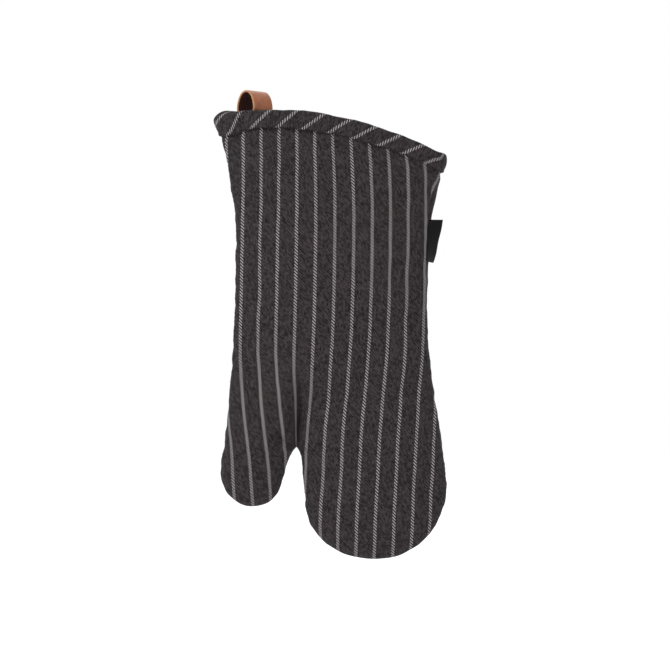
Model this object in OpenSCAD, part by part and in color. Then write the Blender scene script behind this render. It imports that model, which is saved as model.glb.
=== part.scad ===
// Padded oven mitt, hanging by the leather loop at its cuff with the fingers down.
// The origin is the middle of the loop's hole. +Z is up, +X runs across the cuff
// towards the finger side, and the front panel faces -Y.
// Every cloth layer is a sheet between two surfaces of one shape, so the layers nest.

/* [Sleeve and hand] */
// Width across the top edge of the cuff
cuff_w = 170; // [160:1:185]
// Width where the cuff has narrowed into the sleeve
flare_w = 155; // [150:1:165]
// How far that place lies below the top edge
flare_down = 48; // [42:1:56]
// Width of the sleeve
sleeve_w = 143.5; // [138:0.5:150]
// How far that place lies below the top edge
sleeve_down = 95; // [86:1:104]
// Width at the wrist, the narrowest place
wrist_w = 142; // [136:1:150]
// How far the wrist lies below the top edge
wrist_down = 143; // [134:1:152]
// Width across the back of the hand
hand_w = 149.5; // [144:0.5:156]
// How far that place lies below the top edge
hand_down = 198; // [188:1:206]
// Width across the knuckles, level with the crotch
knuckle_w = 161; // [154:1:170]
// How far the crotch lies below the top edge
crotch_down = 248; // [238:1:260]
// Thickness of the mitt at its cuff
cuff_t = 38; // [34:1:46]
// Thickness of the mitt at the wrist
wrist_t = 34; // [30:1:40]
// How far the top edge falls from the loop side to the finger side
cuff_drop = 30; // [10:1:40]
// How much lower the back of the top edge lies than its front
back_drop = 6; // [5:0.5:10]

/* [Fingers] */
// Length from the crotch to the tip of the fingers
finger_len = 83; // [76:1:96]
// Greatest width of the finger pocket
finger_w = 105; // [98:1:110]
// Middle of the finger pocket, from the middle of the mitt
finger_x = 31.5; // [29:0.5:34]
// Height of the round end of the finger pocket
finger_cap = 44; // [36:1:50]
// Thickness of the mitt at the crotch, finger side
finger_t = 31; // [27:1:34]
// Thickness where the round end begins
finger_end_t = 28; // [24:1:31]
// Radius of the fold surface across the fingers
finger_fold_r = 20; // [19:0.5:24]

/* [Thumb] */
// Middle of the crotch, from the middle of the mitt
crotch_x = -26.5; // [-30:0.5:-24]
// Width of the crotch at its round top
crotch_gap = 3.4; // [2.4:0.1:4.4]
// Length from the crotch to the tip of the thumb
thumb_len = 44.5; // [40:0.5:54]
// Greatest width of the thumb pocket
thumb_w = 48; // [42:1:49]
// Middle of the thumb pocket, from the middle of the mitt
thumb_x = -58.5; // [-61:0.5:-58]
// Height of the round end of the thumb pocket
thumb_cap = 29; // [24:1:31]
// Thickness of the mitt at the crotch, thumb side
thumb_t = 27; // [24:1:30]
// Thickness where the round end begins
thumb_end_t = 24; // [21:1:26]
// Radius of the fold surface across the thumb
thumb_fold_r = 17.5; // [16.5:0.5:20]
// Running gap between the two faces of a fold
fold_gap = 0.6; // [0.5:0.1:1]

/* [Cloth] */
// Thickness of the striped twill
outer_t = 1; // [0.8:0.1:1.4]
// Thickness of the wadding
wadding_t = 4; // [3:0.25:4.5]
// Thickness of the lining
lining_t = 0.8; // [0.6:0.1:1.2]
// Thickness of the binding, one leg
binding_t = 1.2; // [1:0.1:1.6]
// Height of the binding below the top edge
binding_h = 14; // [10:0.5:18]
// Length of one binding stitch
stitch_len = 3; // [2:0.1:3.4]
// Distance from one binding stitch to the next
stitch_step = 4.5; // [4:0.1:6]
// Thickness of the sewing thread
thread_d = 0.5; // [0.4:0.05:0.8]

/* [Hanging loop] */
// Radius of the hole in the loop
bore_r = 6.9; // [6:0.1:7.1]
// Thickness of the leather
strap_t = 1.8; // [1.4:0.1:2]
// Width of the leather
strap_w = 19; // [16:0.5:20]
// Turn of the loop away from the line of the cuff, in degrees
loop_turn = 40; // [30:1:50]
// Height of the hole's middle above the top edge of the cuff
loop_rise = 7.5; // [7.2:0.1:8]
// Distance from the side seam to the middle of the loop
loop_in = 27.5; // [25:0.5:32]
// Length of the sewn ends inside the cuff
loop_end_len = 24; // [18:1:30]

/* [Side label] */
// Height of the label
label_h = 31; // [24:1:36]
// How far the folded label stands out of the seam
label_out = 11; // [8:0.5:14]
// Thickness of the folded label
label_t = 0.7; // [0.5:0.1:1]
// How far the label's top lies below the top edge of the cuff
label_down = 80; // [70:1:110]
// How far the seam that holds the label lies in front of the mitt's widest line
label_front = 5; // [0:0.5:6]
// Turn of the label's top end towards the back, in degrees
label_turn = 15; // [0:1:30]
// Further turn of its bottom end, in degrees
label_end_turn = 45; // [0:1:50]

/* [Hidden] */
$fn = 64;

FRONT = -1;
BACK = 1;
THUMB = 0;
FINGERS = 1;

// Depths of the surfaces below the outer one.
outer_in = outer_t;
wadding_in = outer_in + wadding_t;
lining_in = wadding_in + lining_t;
seat = 0.1;
binding_in = lining_in + seat + binding_t;
// The panels end this far below the top of the binding that covers them.
cover = seat + binding_t;

// Main levels and lines.
rim_z = -loop_rise;
crotch_z = rim_z - crotch_down;
mid_x = cuff_w / 2 - loop_in;
crotch_at = mid_x + crotch_x;
valley_h = 62;
valley_depth = 0.9;
web = 1;
round_x = 2.4;
round_y = 2.2;
tip_round = 0.7;
rim_level = 0.4;
rim_curve = 1.7;
// Open space between pieces that move past each other.
clear = 0.3;
// Share of the leather's thickness by which the loop's fold runs into its ring.
fold_sink = 0.2;

// Stitches lie this far above the lower edge of the binding, and stand proud of its
// face by this share of their thickness.
stitch_in = 1.6;
thread_lift = 0.6;
// Stitches of the loop: their length, the step from one to the next, the rows up each
// side, and where the row along the bottom starts and how far it lies below them.
loop_stitch_len = 2.6;
loop_stitch_step = 3.64;
loop_stitch_rows = 5;
bottom_start = 0.3;
bottom_drop = 0.75;

// Grid of a palm sheet and of a pocket sheet.
palm_rows = 15;
pocket_rows = 5;
cap_rows = 6;
thumb_cols = 9;
finger_cols = 13;
cap_end = 74;
label_rows = 8;
// The palm's rows stand closer together towards the crotch by this power.
row_crowd = 1.5;

function mix(a, b, f) = a + (b - a) * f;
function limit(v) = min(1, max(0, v));

// Smooth curve through the rows [place, value] of a table.
function slope(t, i) =
    let (a = max(i - 1, 0), b = min(i + 1, len(t) - 1))
    (t[b][1] - t[a][1]) / (t[b][0] - t[a][0]);
function cell(t, p, i = 0) = i >= len(t) - 2 || p <= t[i + 1][0] ? i : cell(t, p, i + 1);
function through(t, p) =
    let (
        i = cell(t, p),
        gap = t[i + 1][0] - t[i][0],
        f = limit((p - t[i][0]) / gap),
        g = 1 - f
    )
    t[i][1] * g * g * (1 + 2 * f) + t[i + 1][1] * f * f * (3 - 2 * f)
        + gap * f * g * (slope(t, i) * g - slope(t, i + 1) * f);

width_table = [
    [0, cuff_w], [flare_down, flare_w], [sleeve_down, sleeve_w],
    [wrist_down, wrist_w], [hand_down, hand_w], [crotch_down, knuckle_w]
];
thick_table = [[0, cuff_t / 2], [wrist_down, wrist_t / 2], [crotch_down, wrist_t / 2]];
function half_w(z) = through(width_table, rim_z - z) / 2;
function half_t(z) = through(thick_table, rim_z - z);

// Rounded cross profile, 1 in the middle and 0 at both seams.
function bulge(u) = pow(1 - pow(min(abs(u), 1), round_x), 1 / round_y);

// How far a place is on its way from the open palm, 0, to the two pockets, 1.
function near_crotch(z) = 1 - limit((z - crotch_z) / valley_h);
function split(z) = valley_depth * (1 - pow(1 - pow(near_crotch(z), round_x), 1 / round_y));

// Sizes of each pocket: half thickness at the crotch and at its round end, fold radius,
// middle, half width and level of the round end, and the round end's height.
function open_t(part) = (part == THUMB ? thumb_t : finger_t) / 2;
function end_t(part) = (part == THUMB ? thumb_end_t : finger_end_t) / 2;
function fold_r(part) = part == THUMB ? thumb_fold_r : finger_fold_r;
function end_x(part) = mid_x + (part == THUMB ? thumb_x : finger_x);
function end_w(part) = (part == THUMB ? thumb_w : finger_w) / 2;
function cap_h(part) = part == THUMB ? thumb_cap : finger_cap;
function cap_z(part) = crotch_z - (part == THUMB ? thumb_len : finger_len) + cap_h(part);
function fold_z(part) = crotch_z - fold_r(part);

// Level of the top edge in one column, lower at the finger side and at the back.
function rim_at(side, x) =
    let (u = (x - mid_x) / (cuff_w / 2))
    rim_z - cuff_drop * pow(limit((u + rim_level) / (1 + rim_level)), rim_curve)
        - (side == BACK ? back_drop * (1 - min(1, u * u)) : 0);

// One point of the palm at depth d, from its pocket side, place across (-1 to 1) and level.
function palm_x(part, a, z, d) =
    let (
        half_web = web / 2 + d * pow(near_crotch(z), 2),
        low = part == THUMB ? mid_x - half_w(z) + d : crotch_at + half_web,
        high = part == THUMB ? crotch_at - half_web : mid_x + half_w(z) - d
    )
    mix(low, high, (a + 1) / 2);
function palm_y(part, a, z, d) =
    let (
        u = (palm_x(part, a, z, d) - mid_x) / (half_w(z) - d),
        t = mix(half_t(z), open_t(part), near_crotch(z)) - d
    )
    t * mix(bulge(u), bulge(a), split(z));
function palm_end(part, a, d) =
    fold_z(part) + sqrt(pow(fold_r(part), 2) - pow(palm_y(part, a, crotch_z, d), 2));
function palm_point(side, part, a, z, d) =
    [palm_x(part, a, z, d), side * palm_y(part, a, z, d), z];
function panel_top(side, part, a) = rim_at(side, palm_x(part, a, rim_z, 0)) - cover;

// One point of a pocket above its round end, and one on the round end.
function pocket_x(part, a, z, d) =
    let (
        f = sin(90 * limit((crotch_z - z) / (crotch_z - cap_z(part)))),
        top_low = part == THUMB ? mid_x - half_w(crotch_z) : crotch_at + crotch_gap / 2,
        top_high = part == THUMB ? crotch_at - crotch_gap / 2 : mid_x + half_w(crotch_z),
        low = mix(top_low, end_x(part) - end_w(part), f) + d,
        high = mix(top_high, end_x(part) + end_w(part), f) - d
    )
    mix(low, high, (a + 1) / 2);
function pocket_y(part, a, z, d) =
    let (f = limit((crotch_z - z) / (crotch_z - cap_z(part))))
    (mix(open_t(part), end_t(part), f) - d) * bulge(a);
function pocket_start(part, a, d) =
    fold_z(part) + sqrt(pow(fold_r(part) - fold_gap, 2) - pow(pocket_y(part, a, crotch_z, d), 2));
function pocket_point(side, part, a, z, d) =
    [pocket_x(part, a, z, d), side * pocket_y(part, a, z, d), z];
function cap_point(side, part, a, turn, d) = [
    end_x(part) + (end_w(part) - d) * cos(turn) * a,
    side * (end_t(part) - d) * pow(cos(turn), tip_round) * bulge(a),
    cap_z(part) - (cap_h(part) - d) * sin(turn)
];
function tip_point(part, a, d) = [
    end_x(part) + (end_w(part) - d) * cos(cap_end) * a,
    0,
    cap_z(part) - (cap_h(part) - d) * sqrt(1 - pow(cos(cap_end) * a, 2))
];

// Places across a sheet, closer together at the seams.
function across(n) = [for (j = [0:n]) -cos(180 * j / n)];
thumb_across = across(thumb_cols);
finger_across = across(finger_cols);
palm_across = concat(
    [for (a = thumb_across) [THUMB, a]],
    [for (a = finger_across) [FINGERS, a]]
);
function places(part) = part == THUMB ? thumb_across : finger_across;
function palm_share(i) = 1 - pow(1 - i / palm_rows, row_crowd);

function palm_grid(side, d) = [
    for (i = [0:palm_rows]) [
        for (c = palm_across)
            palm_point(side, c[0], c[1],
                mix(panel_top(side, c[0], c[1]), palm_end(c[0], c[1], d), palm_share(i)), d)
    ]
];
function pocket_grid(side, part, d) = concat(
    [
        for (i = [0:pocket_rows]) [
            for (a = places(part))
                pocket_point(side, part, a,
                    mix(pocket_start(part, a, d), cap_z(part), i / pocket_rows), d)
        ]
    ],
    [
        for (i = [1:cap_rows - 1])
            [for (a = places(part)) cap_point(side, part, a, cap_end * i / cap_rows, d)]
    ],
    [[for (a = places(part)) tip_point(part, a, d)]]
);

// Two triangles over four corners, turned over when flip is true.
function two(a, b, c, d, flip) = flip ? [[a, c, b], [a, d, c]] : [[a, b, c], [a, c, d]];

// Closed sheet between two grids with as many rows and columns.
module sheet(top, bottom, flip) {
    rows = len(top);
    cols = len(top[0]);
    count = rows * cols;
    points = concat([for (r = top) each r], [for (r = bottom) each r]);
    faces = concat(
        [
            for (i = [0:rows - 2], j = [0:cols - 2])
                let (p = i * cols + j)
                each two(p, p + cols, p + cols + 1, p + 1, flip)
        ],
        [
            for (i = [0:rows - 2], j = [0:cols - 2])
                let (p = count + i * cols + j)
                each two(p, p + cols, p + cols + 1, p + 1, !flip)
        ],
        [
            for (i = [0:rows - 2], j = [0, cols - 1])
                let (p = i * cols + j)
                each two(p, p + cols, p + cols + count, p + count, (j == 0) != flip)
        ],
        [
            for (j = [0:cols - 2], i = [0, rows - 1])
                let (p = i * cols + j)
                each two(p, p + 1, p + 1 + count, p + count, (i == 0) == flip)
        ]
    );
    polyhedron(points = points, faces = faces, convexity = 8);
}

// Closed ring that carries one profile round a loop of stations.
module ring(stations) {
    n = len(stations);
    m = len(stations[0]);
    points = [for (s = stations) each s];
    faces = [
        for (i = [0:n - 1], k = [0:m - 1])
            let (p = i * m, q = ((i + 1) % n) * m, l = (k + 1) % m)
            each two(p + k, p + l, q + l, q + k, true)
    ];
    polyhedron(points = points, faces = faces, convexity = 8);
}

// The loop lies flat on the inside of the back wall. The wall is highest at the top edge
// and closes in below it, so the loop's plane is set by the tighter of two levels.
function wall_y(x, z, d) = (half_t(z) - d) * bulge((x - mid_x) / (half_w(z) - d));
function loop_wall_y(x) =
    min(
        wall_y(x, rim_at(BACK, x) - binding_h, binding_in),
        wall_y(x, rim_at(BACK, x) - loop_end_len, lining_in)
    );
wall_low = loop_wall_y(-strap_w / 2);
wall_high = loop_wall_y(strap_w / 2);
wall_turn = atan2(wall_high - wall_low, strap_w);
seam_y = strap_t + seat - (wall_low + wall_high) / 2;
loop_fold_z = -bore_r - strap_t * (2 - fold_sink);

module palm_sheet(side, outer, inner) {
    translate([0, seam_y, 0])
        sheet(palm_grid(side, outer), palm_grid(side, inner), side == FRONT);
}

module pocket_sheet(side, part, outer, inner) {
    translate([0, seam_y, 0])
        sheet(pocket_grid(side, part, outer), pocket_grid(side, part, inner), side == FRONT);
}

module outer_front_palm() {
    color("#343236") palm_sheet(FRONT, 0, outer_in);
}

module outer_front_fingers() {
    color("#3a383c") pocket_sheet(FRONT, FINGERS, 0, outer_in);
}

module outer_front_thumb() {
    color("#3a383c") pocket_sheet(FRONT, THUMB, 0, outer_in);
}

module outer_back_palm() {
    color("#343236") palm_sheet(BACK, 0, outer_in);
}

module outer_back_fingers() {
    color("#3a383c") pocket_sheet(BACK, FINGERS, 0, outer_in);
}

module outer_back_thumb() {
    color("#3a383c") pocket_sheet(BACK, THUMB, 0, outer_in);
}

module wadding_front_palm() {
    color("#f1efe8") palm_sheet(FRONT, outer_in, wadding_in);
}

module wadding_front_fingers() {
    color("#f1efe8") pocket_sheet(FRONT, FINGERS, outer_in, wadding_in);
}

module wadding_front_thumb() {
    color("#f1efe8") pocket_sheet(FRONT, THUMB, outer_in, wadding_in);
}

module wadding_back_palm() {
    color("#f1efe8") palm_sheet(BACK, outer_in, wadding_in);
}

module wadding_back_fingers() {
    color("#f1efe8") pocket_sheet(BACK, FINGERS, outer_in, wadding_in);
}

module wadding_back_thumb() {
    color("#f1efe8") pocket_sheet(BACK, THUMB, outer_in, wadding_in);
}

module lining_front_palm() {
    color("#26252a") palm_sheet(FRONT, wadding_in, lining_in);
}

module lining_front_fingers() {
    color("#26252a") pocket_sheet(FRONT, FINGERS, wadding_in, lining_in);
}

module lining_front_thumb() {
    color("#26252a") pocket_sheet(FRONT, THUMB, wadding_in, lining_in);
}

module lining_back_palm() {
    color("#26252a") palm_sheet(BACK, wadding_in, lining_in);
}

module lining_back_fingers() {
    color("#26252a") pocket_sheet(BACK, FINGERS, wadding_in, lining_in);
}

module lining_back_thumb() {
    color("#26252a") pocket_sheet(BACK, THUMB, wadding_in, lining_in);
}

// The binding is one folded strip round the whole top edge.
module cuff_binding() {
    low = cover - binding_h;
    profile = [
        [-cover, low], [-cover, cover], [binding_in, cover], [binding_in, low],
        [lining_in + seat, low], [lining_in + seat, seat], [-seat, seat], [-seat, low]
    ];
    last = len(palm_across) - 1;
    columns = concat(
        [for (j = [0:last]) [FRONT, palm_across[j]]],
        [for (j = [last - 1:-1:1]) [BACK, palm_across[j]]]
    );
    color("#3b393d")
        translate([0, seam_y, 0])
            ring([
                for (c = columns)
                    let (z = panel_top(c[0], c[1][0], c[1][1]))
                    [for (p = profile) palm_point(c[0], c[1][0], c[1][1], z + p[1], p[0])]
            ]);
}

module rod(from, to, d) {
    v = to - from;
    translate(from)
        rotate([0, acos(v[2] / norm(v)), atan2(v[1], v[0])])
            cylinder(d = d, h = norm(v), $fn = 8);
}

// One row of stitches runs along the binding on each side of the cuff.
module binding_stitches() {
    depth = -cover - thread_d * thread_lift;
    reach = cuff_w / 2 - binding_h;
    count = floor(2 * reach / stitch_step);
    function on_binding(side, x) =
        let (z = rim_at(side, x) - binding_h + stitch_in)
        [x, seam_y + side * wall_y(x, z, depth), z];
    color("#2b2a2d")
        for (side = [FRONT, BACK], i = [0:count - 1])
            let (x = mid_x - reach + i * stitch_step)
            rod(on_binding(side, x), on_binding(side, x + stitch_len), thread_d);
}

// The round, free part of the loop, down to the line where the leather bends.
module hanging_loop() {
    color("#a5683c")
        difference() {
            union() {
                rotate([0, 90, loop_turn])
                    cylinder(r = bore_r + strap_t, h = strap_w, center = true);
                translate([0, 0, loop_fold_z])
                    rotate([0, 90, wall_turn])
                        cylinder(r = strap_t, h = strap_w, center = true);
            }
            rotate([0, 90, loop_turn])
                cylinder(r = bore_r, h = 2 * strap_w, center = true);
        }
}

// The two sewn ends of the loop, one on the other, flat on the inside of the back.
module loop_ends() {
    top = loop_fold_z - strap_t - clear;
    bottom = rim_z - loop_end_len;
    color("#a5683c")
        rotate([0, 0, wall_turn])
            for (s = [-1, 1])
                translate([-strap_w / 2, s > 0 ? 0 : -strap_t, bottom])
                    cube([strap_w, strap_t, top - bottom]);
}

// A box of stitches holds the ends to the cuff.
module loop_stitches() {
    side_x = strap_w / 2 - loop_stitch_len;
    low = rim_z - loop_end_len + loop_stitch_len;
    face_y = -strap_t - thread_d / 2;
    color("#2b2a2d")
        rotate([0, 0, wall_turn]) {
            for (s = [-1, 1], i = [0:loop_stitch_rows - 2])
                let (z = low + i * loop_stitch_step)
                rod([s * side_x, face_y, z], [s * side_x, face_y, z + loop_stitch_len], thread_d);
            for (i = [0:loop_stitch_rows - 2])
                let (x = -side_x + (i + bottom_start) * 2 * side_x / (loop_stitch_rows - 1))
                rod([x, face_y, low - bottom_drop],
                    [x + loop_stitch_len, face_y, low - bottom_drop], thread_d);
        }
}

// The folded label stands out of the side seam and turns back towards its lower end.
module side_label() {
    top_z = rim_z - label_down;
    function root_x(z) =
        mid_x + half_w(z) * pow(1 - pow(label_front / half_t(z), round_y), 1 / round_x);
    function face(s) = [
        for (i = [0:label_rows])
            let (
                z = top_z - label_h * i / label_rows,
                turn = label_turn + label_end_turn * i / label_rows,
                root = [root_x(z) + label_t / 2 + 2 * clear, seam_y - label_front, z],
                out = [cos(turn), sin(turn), 0],
                off = [-sin(turn), cos(turn), 0] * label_t / 2 * s
            )
            [for (f = [0, 0.5, 1]) root + out * label_out * f + off]
    ];
    color("#1a1a1c") sheet(face(1), face(-1), false);
}

outer_front_palm();
outer_front_fingers();
outer_front_thumb();
outer_back_palm();
outer_back_fingers();
outer_back_thumb();
wadding_front_palm();
wadding_front_fingers();
wadding_front_thumb();
wadding_back_palm();
wadding_back_fingers();
wadding_back_thumb();
lining_front_palm();
lining_front_fingers();
lining_front_thumb();
lining_back_palm();
lining_back_fingers();
lining_back_thumb();
cuff_binding();
binding_stitches();
hanging_loop();
loop_ends();
loop_stitches();
side_label();
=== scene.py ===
"""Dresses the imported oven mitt: cloth panels, lining, binding, stitches, leather loop and label.

Lengths in the functions are millimetres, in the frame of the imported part: the origin is the
middle of the loop's hole, +Z is up and the front panel faces -Y. Meshes are made in metres.
"""

import math

import bpy
import numpy as np
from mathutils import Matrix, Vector
from mathutils.kdtree import KDTree


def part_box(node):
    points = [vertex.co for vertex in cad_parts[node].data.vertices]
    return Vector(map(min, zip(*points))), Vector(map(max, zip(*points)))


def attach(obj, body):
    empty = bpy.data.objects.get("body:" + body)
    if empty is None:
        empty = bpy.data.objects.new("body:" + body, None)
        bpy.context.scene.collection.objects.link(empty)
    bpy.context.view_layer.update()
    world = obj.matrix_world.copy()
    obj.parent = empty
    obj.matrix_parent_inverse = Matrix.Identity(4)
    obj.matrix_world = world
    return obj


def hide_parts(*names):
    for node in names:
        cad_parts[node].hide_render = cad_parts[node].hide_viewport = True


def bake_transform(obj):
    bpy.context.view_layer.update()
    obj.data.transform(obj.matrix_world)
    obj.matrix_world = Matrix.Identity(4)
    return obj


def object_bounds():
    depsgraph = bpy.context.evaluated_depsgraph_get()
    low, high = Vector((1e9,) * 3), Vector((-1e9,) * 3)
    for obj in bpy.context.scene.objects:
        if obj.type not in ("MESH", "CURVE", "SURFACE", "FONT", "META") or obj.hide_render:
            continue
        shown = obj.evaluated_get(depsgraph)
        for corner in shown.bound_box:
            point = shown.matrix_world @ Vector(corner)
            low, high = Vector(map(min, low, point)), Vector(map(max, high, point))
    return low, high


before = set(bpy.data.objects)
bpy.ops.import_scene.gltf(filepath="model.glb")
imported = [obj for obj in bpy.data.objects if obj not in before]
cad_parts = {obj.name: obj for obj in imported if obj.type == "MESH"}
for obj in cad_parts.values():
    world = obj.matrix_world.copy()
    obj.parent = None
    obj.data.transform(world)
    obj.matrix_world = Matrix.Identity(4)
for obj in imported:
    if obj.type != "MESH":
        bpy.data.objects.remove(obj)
CAD_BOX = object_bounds()

bl_info = {
    "name": "Oven mitt",
    "version": (1, 0, 0),
    "blender": (4, 5, 0),
    "location": "View3D > Sidebar > Mitt",
    "description": "Builds the cloth, leather and thread of a padded oven mitt round its frame",
    "category": "Object",
}

MM = 0.001
THUMB, FINGERS = 0, 1
FRONT, BACK = -1, 1

# The rounded profile across the mitt: |across| ** ROUND_X + |out| ** ROUND_Y = 1.
ROUND_X = 2.4
ROUND_Y = 2.2

# Where the seams and the binding lie, read from the frame.
BINDING_LOW, BINDING_HIGH = (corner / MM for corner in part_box("cuff_binding"))
PALM_LOW, PALM_HIGH = (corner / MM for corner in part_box("outer_front_palm"))
SEAM_Y = PALM_HIGH.y
RIM_MIDDLE = (BINDING_LOW.x + BINDING_HIGH.x) / 2
RIM_HALF = (PALM_HIGH.x - PALM_LOW.x) / 2
RIM_Z = BINDING_HIGH.z
FINGER_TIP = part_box("outer_front_fingers")[0].z / MM
THUMB_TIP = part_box("outer_front_thumb")[0].z / MM

# The top edge falls towards the finger side, and its back lies a little lower.
RIM_DROP = 30.0
RIM_BACK_DROP = 6.0
RIM_LEVEL = 0.4
RIM_CURVE = 1.7
# Small rises of the top edge [place, reach, height], and the notch at the finger side's corner.
RIM_RISES = ((-24.5, 3.0, 0.8), (-12.0, 6.0, -0.8))
NOTCH_START = 132.5
NOTCH_END = 134.5
NOTCH_DEPTH = 2.6

# Rows [level, place] of the mitt's side edges. The cuff flares, the wrist is narrowest.
THUMB_EDGE = (
    (-255.5, -22.8), (-240.0, -21.4), (-206.0, -18.2), (-150.0, -15.2), (-101.0, -14.2),
    (-76.0, -15.4), (-72.0, -16.1), (-69.0, -17.2), (-60.0, -18.1), (-45.0, -20.4), (-27.0, -25.0),
    (-20.0, -27.2), (-15.5, -29.2), (-12.5, -29.5), (-10.0, -27.4), (-6.5, -22.4),
)
FINGER_EDGE = (
    (-255.5, 139.6), (-206.0, 132.2), (-170.0, 128.8), (-147.0, 128.1), (-123.0, 129.3),
    (-88.0, 131.2), (-72.0, 134.5), (-64.0, 136.0), (-55.0, 138.3), (-41.0, 141.2), (-34.0, 139.5),
)
# Rows [level, half thickness] of the mitt, seam to front.
HALF_THICKNESS = ((-255.5, 17.0), (-150.0, 17.0), (-8.0, 19.0))
# Rows [level, turn] that bring the finger side's seam round to the front, in radians.
SEAM_TURN = ((-200.0, 0.0), (-160.0, 0.1), (-119.0, 0.24), (-88.0, 0.32), (-50.0, 0.43), (-8.0, 0.5))

# The crotch, and above it the valley between the thumb and the fingers.
CROTCH_Z = -255.5
CROTCH_X = 31.1
VALLEY = 62.0
MEETING_THICKNESS = 14.5

# Each pocket: rows [level, place] of its two edges, the level and height of its round end,
# half thickness at the crotch and at the round end, and how its round end leans.
POCKETS = {
    THUMB: {
        "low": ((-273.0, -25.4), (-264.0, -24.4), (-255.5, -22.6)),
        "high": ((-273.0, 22.2), (-264.0, 25.8), (-259.0, 27.9), (-255.5, CROTCH_X)),
        "cap_z": -273.0, "cap_h": -273.0 - THUMB_TIP, "open": 13.5, "end": 12.0,
        "lean": 0.6, "trim": 0.02,
    },
    FINGERS: {
        "low": ((-294.5, 37.4), (-283.0, 35.9), (-271.0, 35.2), (-265.0, 34.4), (-259.0, 33.0),
                (-255.5, CROTCH_X)),
        "high": ((-294.5, 141.6), (-285.0, 142.3), (-272.0, 141.7), (-255.5, 139.6)),
        "cap_z": -294.5, "cap_h": -294.5 - FINGER_TIP, "open": 15.5, "end": 14.0,
        "lean": -2.0, "trim": 0.027,
    },
}

# Levels that span each fold. They are read, but nothing bends the cloth with them.
FINGER_BEND = (-259.5, -296.0)
THUMB_BEND = (-259.5, -290.0)

# Rows [level, place] of two stripes, one down the thumb and one down the fingers.
STRIPE_THUMB = (
    (-300.0, -0.9), (-271.0, -2.3), (-250.0, -4.7), (-235.0, -6.8), (-213.0, -9.3),
    (-188.0, -10.6), (-147.0, -10.2), (-73.0, -8.9), (-25.0, -7.9),
)
STRIPE_FINGERS = (
    (-338.0, 88.4), (-300.0, 89.4), (-277.0, 90.7), (-248.0, 92.1), (-228.0, 93.8),
    (-206.0, 95.7), (-170.0, 98.4), (-120.0, 99.9), (-73.0, 100.0), (-37.0, 98.4), (-8.0, 97.2),
)
STRIPES_BETWEEN = 8
# The share of the surface's rise that shows in the stripes: the cloth is eased over its edges.
RISE_SHOWN = 0.6

# Creases pressed into the front: ends [x, z], depth and width. The last four are broad dents.
CREASES = (
    ((13.0, -245.0), (29.0, -254.5), 4.6, 2.1),
    ((33.0, -257.5), (44.0, -258.5), 3.6, 2.0),
    ((34.0, -198.0), (31.3, -254.0), 3.2, 2.1),
    ((33.5, -196.0), (31.4, -240.0), 2.8, 6.0),
    ((124.0, -86.0), (134.0, -83.0), 2.4, 1.8),
    ((-18.0, -74.5), (-6.0, -69.0), 2.2, 2.0),
    ((119.0, -50.0), (131.0, -72.0), 2.0, 2.6),
    ((104.0, -42.0), (113.0, -66.0), 1.8, 2.4),
    ((125.0, -60.0), (129.0, -84.0), 1.6, 2.2),
    ((56.0, -228.0), (88.0, -222.0), 0.7, 6.0),
    ((92.0, -128.0), (124.0, -138.0), 0.7, 6.0),
    ((-12.0, -116.0), (18.0, -128.0), 0.7, 6.0),
    ((20.0, -60.0), (60.0, -54.0), 0.6, 6.0),
)
# The simulation: how many frames it runs, how far below the rim the cloth is held, and the
# distances below the rim and from the seam over which it comes free.
SETTLE_FRAMES = 24
HELD_BELOW = 6.0
FREE_FROM = 15.0
FREE_OVER = 14.0
FREE_BESIDE = 22.0
# Depth and reach of the line pressed along the side seams, and of the ditch under the binding.
SEAM_LINE = (0.3, 1.3)
DITCH = (1.3, 2.0)

# Columns across and rows down one face of each layer, before it is made finer.
COLUMNS = {THUMB: 18, FINGERS: 32}
SLEEVE_ROWS = 72
POCKET_ROWS = {THUMB: (5, 9), FINGERS: (11, 15)}
LINING_COLUMNS = {THUMB: 12, FINGERS: 20}
LINING_SLEEVE_ROWS = 40
LINING_POCKET_ROWS = {THUMB: (4, 6), FINGERS: (7, 9)}
PIECES = {(FRONT, FINGERS): 0, (FRONT, THUMB): 1, (BACK, FINGERS): 2, (BACK, THUMB): 3}
# How far the layers end below the binding's fold, and how much deeper the lining hangs loose.
BELOW_RIM = 1.4
LINING_EASE = 0.3

# The loop: the turn of its arch and of the cuff's wall beside it, the level where it starts to
# turn and the height it takes, the arch's half width, and the levels of the arch's foot, of
# the place where the two legs meet, and of the strap's ends.
ARCH_TURN = math.radians(45.0)
WALL_TURN = math.radians(10.35)
TURN_FROM = -14.0
TURN_HEIGHT = 8.0
ARCH_HALF = 8.9
ARCH_FOOT = -5.3
LEGS_MEET = -14.5
STRAP_BOTTOM = -31.4
# How far the strap's edges are rounded, the gap between its legs and the cuff's wall, and the
# box of stitches that holds them: distance from the strap's edge, length and step.
LEATHER_EDGE = 0.45
LEATHER_GAP = 0.05
BOX_INSET = 2.6
BOX_STITCH = 2.6
BOX_STEP = 3.64

# The label: its root's place at the top and at the bottom, its turn at the top and how much
# further it turns down to the bottom, in degrees, and its folded shape.
LABEL_ROOT = (129.4, 127.3)
LABEL_ROOT_Y = SEAM_Y - 5.0
LABEL_TURN = (15.0, 45.0)
LABEL_GAP = 0.5
LABEL_FOLD = 0.55
LABEL_TUCK = 0.9
LABEL_THICK = 0.22

# The stage: middle of the view [across, up], the lamps' places and sizes in metres, the
# floor's half width, and how far the floor is lifted towards white.
VIEW_MIDDLE = (59.6, -172.6)
LAMPS = {
    "key": ((-1.15, -1.0, 0.95), 0.7),
    "fill": ((1.1, -1.4, 0.1), 1.2),
    "back": ((0.9, 1.4, 0.6), 1.2),
}
FLOOR_HALF = 3.0
FLOOR_LIFT = 0.5


# --- small helpers

def limit(value):
    return np.clip(value, 0.0, 1.0)


def ease(value):
    value = limit(value)
    return value * value * (3 - 2 * value)


def mix(a, b, share):
    return a + (b - a) * share


def signed_power(value, power):
    return np.sign(value) * np.abs(value) ** power


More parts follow.
